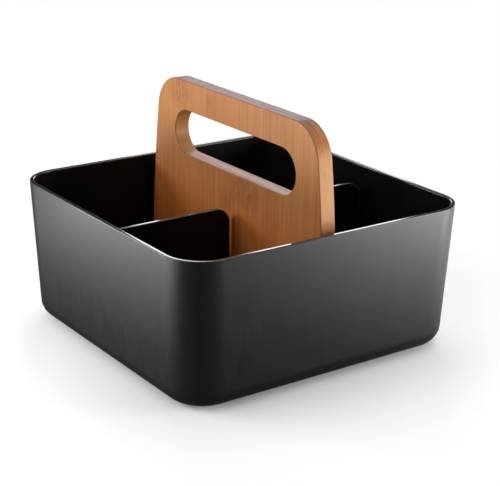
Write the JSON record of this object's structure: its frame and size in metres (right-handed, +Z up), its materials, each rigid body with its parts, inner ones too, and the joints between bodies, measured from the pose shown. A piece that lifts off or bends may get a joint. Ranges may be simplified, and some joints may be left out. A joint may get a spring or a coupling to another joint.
{
  "type": "utensil caddy",
  "caption": "Square open caddy in satin black plastic with a bamboo carrying handle board across the middle and lift-out divider panels on both sides of it.",
  "frame": {"origin": "under the middle of the tub, on the surface that the caddy stands on", "axes": "+Z up, X along the handle board, Y across it through the dividers"},
  "size_m": [0.2, 0.202, 0.1494],
  "materials": {
    "tub_plastic": "satin black moulding with a fine soft texture outside, smoother inside",
    "divider_plastic": "satin black moulding",
    "bamboo": "carbonised bamboo, upright grain, thin matt oil finish",
    "bamboo_core": "carbonised bamboo core layer with its grain along the board",
    "screw_steel": "zinc plated steel",
    "foot_rubber": "matt dark silicone rubber"
  },
  "bodies": {
    "caddy": {"tub": "tub_plastic", "handle_front_ply": "bamboo", "handle_core_ply": "bamboo_core", "handle_back_ply": "bamboo", "screw_left": "screw_steel", "screw_right": "screw_steel", "foot_front_left": "foot_rubber", "foot_front_right": "foot_rubber", "foot_back_left": "foot_rubber", "foot_back_right": "foot_rubber"},
    "divider_front": {"divider_front": "divider_plastic"},
    "divider_back": {"divider_back": "divider_plastic"}
  },
  "joints": [
    {"name": "divider_front_lift", "type": "slide", "parent": "caddy", "child": "divider_front", "axis": [0, 0, 1], "range_m": [0, 0.095]},
    {"name": "divider_back_lift", "type": "slide", "parent": "caddy", "child": "divider_back", "axis": [0, 0, 1], "range_m": [0, 0.095]}
  ]
}
